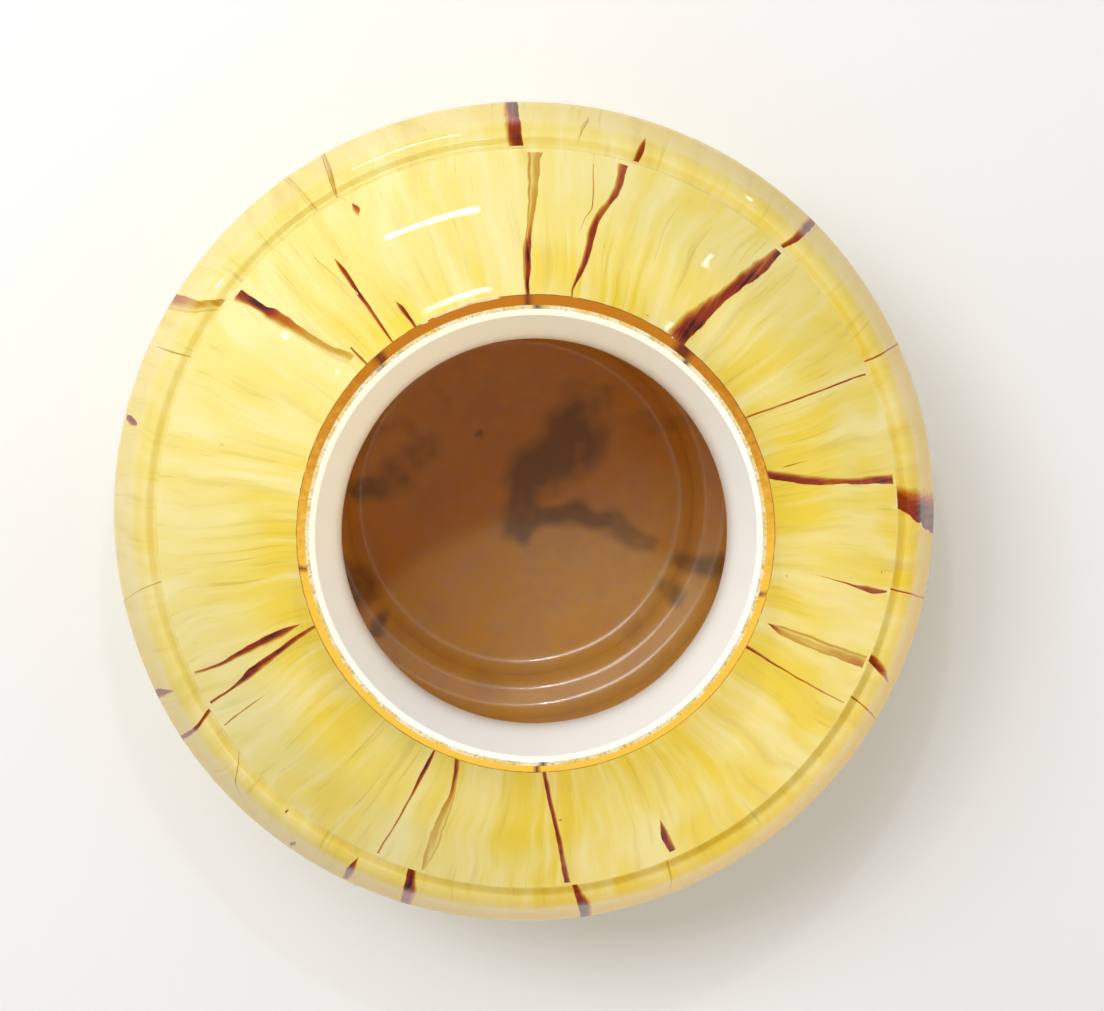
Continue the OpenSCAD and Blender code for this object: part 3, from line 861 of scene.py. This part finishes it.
LOWER_TRAILS = [
    ([[WIDE_R, 44.1, 2.8, 0.9], [88, 45, 3.2, 0.95], [76, 46, 2, 0.8], [66, 46.5, 0, 0.6]], 0),
    ([[WIDE_R, 65.3, 0.5, 0.85], [88, 65.8, 0.6, 0.8], [80, 66.4, 0, 0.6]], 0),
    ([[WIDE_R, 90.3, 12.5, 0.95], [92, 90.6, 8, 1.0], [84, 91.5, 4, 0.85],
      [68, 93, 0, 0.6]], 0),
    ([[WIDE_R, 102.2, 0.5, 0.85], [90, 102.6, 0.7, 0.8], [82, 103, 0, 0.6]], 0),
    ([[WIDE_R, 121, 0.5, 0.75], [86, 121.5, 0.8, 0.7], [74, 122, 0, 0.5]], 0),
    ([[WIDE_R, 171.6, 2.4, 1.0], [88, 171, 1.6, 0.9], [76, 170.2, 1.9, 0.8],
      [64.5, 169.6, 0, 0.6]], 0),
    ([[WIDE_R, 197.1, 3, 0.85], [90, 196.6, 3.4, 0.9], [82, 196, 1.4, 0.7],
      [72, 195.6, 0, 0.4]], 0),
    ([[WIDE_R, 237, 1.4, 0.9], [88, 236.2, 1.2, 0.8], [77, 235.6, 1.7, 0.9],
      [67, 235, 0, 0.6]], 0),
    ([[WIDE_R, 244.3, 3.4, 0.95], [94, 244.6, 2.2, 0.9], [87.5, 245, 0, 0.7]], 0),
    ([[WIDE_R, 301, 4.7, 0.6], [89, 300, 3.8, 0.4], [78, 299.4, 1.6, 0.5],
      [68, 299, 0, 0.3]], 0.35),
    ([[WIDE_R, 357.8, 3.1, 1.0], [88, 357, 2, 0.9], [76, 356.4, 2.4, 0.8],
      [65, 356, 0, 0.5]], 0),
]


def cut_at(path, z):
    """The path with a point put in where it first rises through this height."""
    for i, (p, q) in enumerate(zip(path, path[1:])):
        if p[1] < z < q[1]:
            u = (z - p[1]) / (q[1] - p[1])
            return path[: i + 1] + [(p[0] + (q[0] - p[0]) * u, z)] + path[i + 1 :]
    return path


class Tier:
    """The stretch of the outside that one tier's trails lie on, from its widest point inward."""

    def __init__(self, low_z, high_z, upward=True):
        path = cut_at(wall_path(0), low_z if upward else high_z)
        chosen = [p for p in path if low_z <= p[1] <= high_z and p[0] > NECK_R - 1]
        self.points = chosen if upward else chosen[::-1]
        self.sense = 1 if upward else -1
        self.way = [0.0]
        for p, q in zip(self.points, self.points[1:]):
            self.way.append(self.way[-1] + math.dist(p, q))

    def reach(self, r):
        """The way along to where the tier last has this radius, or its start beyond the edge."""
        found = 0.0
        for (p, q), s in zip(zip(self.points, self.points[1:]), self.way):
            if (p[0] - r) * (q[0] - r) <= 0 and p[0] != q[0]:
                found = s + math.dist(p, q) * (p[0] - r) / (p[0] - q[0])
        return found

    def at(self, s):
        """The point of the section and its outward normal, s along the tier."""
        s = min(max(s, 0.0), self.way[-1] - 1e-6)
        i = next(k for k in range(len(self.way) - 1) if self.way[k + 1] > s)
        p, q = self.points[i], self.points[i + 1]
        u = (s - self.way[i]) / (self.way[i + 1] - self.way[i])
        point = (p[0] + (q[0] - p[0]) * u, p[1] + (q[1] - p[1]) * u)
        before = self.points[max(0, i - 1)]
        after = self.points[min(len(self.points) - 1, i + 2)]
        run = unit((after[0] - before[0], after[1] - before[1]))
        return point, (run[1] * self.sense, -run[0] * self.sense)


def eased(xs, ys, x):
    """A smooth curve through the values ys at the places xs."""
    if x <= xs[0]:
        return ys[0]
    if x >= xs[-1]:
        return ys[-1]
    i = next(k for k in range(len(xs) - 1) if xs[k + 1] >= x)

    def slope(k):
        a, b = max(0, k - 1), min(len(xs) - 1, k + 1)
        return (ys[b] - ys[a]) / (xs[b] - xs[a])

    h = xs[i + 1] - xs[i]
    u = (x - xs[i]) / h
    return (
        (2 * u**3 - 3 * u**2 + 1) * ys[i]
        + (u**3 - 2 * u**2 + u) * h * slope(i)
        + (3 * u**2 - 2 * u**3) * ys[i + 1]
        + (u**3 - u**2) * h * slope(i + 1)
    )


MARGIN = 1.0
PROUD = 0.025
TRAIL_T = 0.8
STEP = 0.9


class Ribbons:
    """The trails of one tier as closed blades that lie in the skin of the casing."""

    def __init__(self, name):
        self.name = name
        self.verts = []
        self.faces = []
        self.normals = []
        self.values = {"across": [], "half": [], "depth": [], "hollow": []}

    def lay(self, tier, stations, hollow, run_on, seed):
        """One trail. run_on carries it past its last station, up the neck."""
        ways = [tier.reach(s[0]) for s in stations]
        if ways[0] > ways[-1]:
            raise ValueError(f"{self.name}: a trail runs outward at {stations[0]}")
        end = ways[-1] + run_on
        stops = [ways[0]] + [s for s in tier.way if ways[0] + 0.02 < s < end - 0.02] + [end]
        places = [ways[0]]
        for a, b in zip(stops, stops[1:]):
            cuts = max(1, math.ceil((b - a) / STEP))
            places += [a + (b - a) * k / cuts for k in range(1, cuts + 1)]
        rows = [self.row(tier, s, ways, stations, hollow, run_on, seed) for s in places]
        self.skin(rows, tier.sense)

    def row(self, tier, s, ways, stations, hollow, run_on, seed):
        (r, z), normal = tier.at(s)
        angle, width, depth = (eased(ways, [st[c] for st in stations], s) for c in (1, 2, 3))
        if run_on > 0 and s > ways[-1]:
            fade = 1 - (s - ways[-1]) / run_on
            width, depth = width * (0.6 + 0.4 * fade), depth * fade
        rough = noise.noise(Vector((s / 3.4, seed * 3.7, 0.0)))
        sway = 0.16 * noise.noise(Vector((s / 6.0, seed * 5.1, 4.0)))
        half = max(0.0, width) / 2 * (1 + 0.18 * rough)
        span = half + MARGIN
        row = []
        for c in range(-5, 6):
            across = span * c / 5 + sway
            dip = 0.05 * max(0.0, abs(c) - 3) / 2
            a = angle + math.degrees(across / r)
            lift = PROUD - dip
            row.append((r, z, normal, a, lift, span * c / 5, half, depth, hollow))
        return row

    def skin(self, rows, sense):
        width = len(rows[0])
        start = len(self.verts)
        first_face = len(self.faces)
        for side in (1, 0):
            for row in rows:
                for r, z, normal, a, lift, across, half, depth, hollow in row:
                    out = lift if side else -TRAIL_T
                    self.verts.append(on_wall(r + normal[0] * out, a, z + normal[1] * out))
                    x, y = on_plan(1, a)
                    self.normals.append(Vector((normal[0] * x, normal[0] * y, normal[1])))
                    for key, value in zip(self.values, (across, half, depth, hollow)):
                        self.values[key].append(value)
        size = len(rows) * width

        def cell(i, j, side):
            return start + (0 if side else size) + i * width + j

        last_i, last_j = len(rows) - 1, width - 1
        for i in range(last_i):
            for j in range(last_j):
                top = [cell(i, j, 1), cell(i, j + 1, 1), cell(i + 1, j + 1, 1), cell(i + 1, j, 1)]
                self.faces.append(top[::-1])
                self.faces.append([v + size for v in top])
        for i in range(last_i):
            for j, turn in ((0, 1), (last_j, -1)):
                side = [cell(i, j, 1), cell(i + 1, j, 1), cell(i + 1, j, 0), cell(i, j, 0)]
                self.faces.append(side[::-turn])
        for j in range(last_j):
            for i, turn in ((0, -1), (last_i, 1)):
                end = [cell(i, j, 1), cell(i, j + 1, 1), cell(i, j + 1, 0), cell(i, j, 0)]
                self.faces.append(end[::-turn])
        if sense < 0:
            self.faces[first_face:] = [face[::-1] for face in self.faces[first_face:]]

    def finish(self):
        mesh = bpy.data.meshes.new(self.name)
        mesh.from_pydata(self.verts, [], self.faces)
        mesh.update()
        for polygon in mesh.polygons:
            polygon.use_smooth = True
        mesh.normals_split_custom_set_from_vertices([n.normalized() for n in self.normals])
        obj = bpy.data.objects.new(self.name, mesh)
        bpy.context.scene.collection.objects.link(obj)
        for key, numbers in self.values.items():
            point_attribute(obj, key, numbers)
        return obj


def make_trails():
    shoulder = Tier(SHOULDER_Z - 1.2, LIP_LOW_Z - 2.5)
    band = Tier(BAND_MID_Z, TREAD_Z + 2)
    lower = Tier(2 * BASE_STEP + 2, BAND_MID_Z, upward=False)
    up_neck = {ROOT_R: 11.0}
    for name, node, tier, trails in (
        ("glass_shoulder_trails", "shoulder_trails", shoulder, SHOULDER_TRAILS),
        ("glass_band_trails", "band_trails", band, BAND_TRAILS),
        ("glass_lower_trails", "lower_trails", lower, LOWER_TRAILS),
    ):
        ribbons = Ribbons(name)
        for k, (stations, hollow) in enumerate(trails):
            run_on = up_neck.get(stations[-1][0], 0.0) if tier is shoulder else 0.0
            ribbons.lay(tier, stations, hollow, run_on, k + 1)
        stand_in(ribbons.finish(), node, trail_glass(node + " glass"))


# ---------------------------------------------------------------- the swirl under the base

SWIRL = [
    (-6, -4, 1), (-3, -1, 6), (2, 4, 10), (6, 9, 12),
    (11, 13, 11), (15, 18, 9), (20, 22, 6), (26, 24, 2),
]


def make_swirl():
    """A thin pool of glass along its centre line, flush with the base."""
    places = list(range(len(SWIRL)))
    rows = []
    count = 48
    for k in range(count + 1):
        t = (len(SWIRL) - 1) * k / count
        x, y, width = (eased(places, [p[c] for p in SWIRL], t) for c in range(3))
        x1, y1 = (eased(places, [p[c] for p in SWIRL], min(t + 0.05, places[-1])) for c in (0, 1))
        x0, y0 = (eased(places, [p[c] for p in SWIRL], max(t - 0.05, 0)) for c in (0, 1))
        side = left_of(unit((x1 - x0, y1 - y0)))
        rough = 1 + 0.12 * noise.noise(Vector((k / 4, 0.0, 1.0)))
        rows.append([(x + side[0] * width / 2 * rough * c / 8,
                      y + side[1] * width / 2 * rough * c / 8, 1 - abs(c) / 8)
                     for c in range(-8, 9)])
    verts, faces, inward = [], [], []
    width = len(rows[0])
    size = len(rows) * width
    for z in (-0.02, SWIRL_T):
        for row in rows:
            for x, y, into in row:
                lift = z if z > 0 else z * min(1.0, 4 * into) + 0.005
                verts.append(Vector((x, y, max(lift, -0.02))) * MM)
                inward.append(0.9 * into)
    for i in range(len(rows) - 1):
        for j in range(width - 1):
            face = [i * width + j, i * width + j + 1, (i + 1) * width + j + 1, (i + 1) * width + j]
            faces.append(face)
            faces.append([v + size for v in face[::-1]])
    edge = [j for j in range(width)]
    edge += [i * width + width - 1 for i in range(1, len(rows))]
    edge += [(len(rows) - 1) * width + j for j in range(width - 2, -1, -1)]
    edge += [i * width for i in range(len(rows) - 2, 0, -1)]
    for a, b in zip(edge, edge[1:] + edge[:1]):
        faces.append([b, a, a + size, b + size])
    obj = smooth_mesh("glass_base_swirl", verts, faces)
    point_attribute(obj, "inward", inward)
    return stand_in(obj, "base_swirl", swirl_glass())


# ---------------------------------------------------------------- studio


def make_floor():
    size = 12.0
    verts = [Vector((x * size, y * size, 0)) for x, y in ((-1, -1), (1, -1), (1, 1), (-1, 1))]
    mesh = bpy.data.meshes.new("studio_floor")
    mesh.from_pydata(verts, [], [(0, 1, 2, 3)])
    floor = bpy.data.objects.new("studio_floor", mesh)
    bpy.context.scene.collection.objects.link(floor)
    g = Graph("studio paper")
    place = g.place()
    tone = g.mix(g.noise(place, 0.004, 2.0), (0.88, 0.875, 0.865), (0.91, 0.907, 0.90))
    _, r, _, _ = polar(g, place)
    # Painted shade: the paper turns darker from 240 to 560 mm out, for the unlit room round the set
    # that the glass reflects
    tone = g.mix(g.step(r, 240.0, 560.0), tone, (0.58, 0.575, 0.57))
    floor.data.materials.append(g.finish(Base_Color=tone, Roughness=0.7, IOR=1.4))


def aimed(location, target, up):
    """A placement at location that looks at target."""
    back = (Vector(location) - Vector(target)).normalized()
    right = Vector(up).cross(back).normalized()
    turn = Matrix((right, back.cross(right), back)).transposed().to_4x4()
    return Matrix.Translation(location) @ turn


def make_light(name, location, target, size, power, colour=(1, 1, 1), up=(0, 1, 0)):
    data = bpy.data.lights.new(name, "AREA")
    data.shape = "RECTANGLE"
    data.size, data.size_y = size
    data.energy = power
    data.color = colour
    light = bpy.data.objects.new(name, data)
    light.matrix_world = aimed(location, target, up)
    light.visible_camera = False
    bpy.context.scene.collection.objects.link(light)
    return light


def round_the_shade(angle, reach, z):
    x, y = on_plan(reach, angle)
    return Vector((x, y, z)) * MM


def collected(name, start):
    """The meshes whose names start like this, for a light that reaches only them."""
    chosen = bpy.data.collections.new(name)
    for obj in bpy.context.scene.objects:
        if obj.type == "MESH" and obj.name.startswith(start):
            chosen.objects.link(obj)
    return chosen


def make_studio():
    world = bpy.data.worlds.new("studio")
    world.use_nodes = True
    nodes = world.node_tree.nodes
    links = world.node_tree.links
    background = nodes["Background"]
    background.inputs["Color"].default_value = (1.0, 0.97, 0.92, 1)
    up = nodes.new("ShaderNodeSeparateXYZ")
    links.new(nodes.new("ShaderNodeTexCoord").outputs["Generated"], up.inputs[0])
    darker = nodes.new("ShaderNodeMath")
    darker.operation = "MINIMUM"
    for k, ends in enumerate(((0.88, 0.96, 0.72, 0.20), (0.0, 0.55, 0.42, 0.72))):
        ramp = nodes.new("ShaderNodeMapRange")
        ramp.interpolation_type = "SMOOTHSTEP"
        for name, value in zip(("From Min", "From Max", "To Min", "To Max"), ends):
            ramp.inputs[name].default_value = value
        links.new(up.outputs["Z"], ramp.inputs["Value"])
        links.new(ramp.outputs[0], darker.inputs[k])
    links.new(darker.outputs[0], background.inputs["Strength"])
    bpy.context.scene.world = world
    make_floor()
    middle = Vector((0, 0, BAND_MID_Z)) * MM
    # The windows and lamps that glint in the glass: angle, height, width, depth and power
    for name, angle, z, wide, deep, power in (
        ("window", 342, 100, 0.20, 0.045, 0.45),
        ("small window", 306.6, 190, 0.014, 0.08, 0.04),
        ("far window", 37, 100, 0.012, 0.13, 0.06),
    ):
        make_light(
            name, round_the_shade(angle, 620, z), round_the_shade(angle, 80, 100),
            (wide, deep), power, up=(0, 0, 1),
        )
    make_light(
        "ceiling lamp", round_the_shade(354.4, 153, HEIGHT + 306), Vector((0, 0, 0)),
        (0.012, 0.012), 0.14, (0.88, 1.0, 1.2),
    )
    make_light("soft box", round_the_shade(330, 400, 1000), middle, (0.3, 0.3), 1.85)
    glass = collected("lit glass", "glass_")
    for name, angle, power, colour in (
        ("left fill", 300, 1.35, (1.0, 0.99, 0.97)),
        ("right fill", 132, 1.75, (1.0, 0.94, 0.80)),
    ):
        fill = make_light(
            name, round_the_shade(angle, 573, 400), middle, (0.35, 0.35), power, colour
        )
        fill.visible_glossy = False
        fill.light_linking.receiver_collection = glass
    key = make_light(
        "paper key", round_the_shade(302, 560, 1000), middle, (0.3, 0.3), 3.5,
        (0.95, 1.0, 1.07),
    )
    key.light_linking.receiver_collection = collected("lit paper", "studio_")


def make_camera():
    """The photograph's view: into the neck, from a little behind and left of the axis."""
    data = bpy.data.cameras.new("camera")
    data.lens = 68.84
    data.sensor_width = 36
    camera = bpy.data.objects.new("camera", data)
    place = Vector((-14.2, 28, HEIGHT + 438)) * MM
    target = Vector((3.15, 6.1, HEIGHT)) * MM
    camera.matrix_world = aimed(place, target, (0, 1, 0))
    bpy.context.scene.collection.objects.link(camera)
    bpy.context.scene.camera = camera


random.seed(7)
bpy.context.scene.view_settings.view_transform = "Standard"
make_casing()
make_interlayer()
make_lining()
make_trails()
make_swirl()
make_studio()
make_camera()
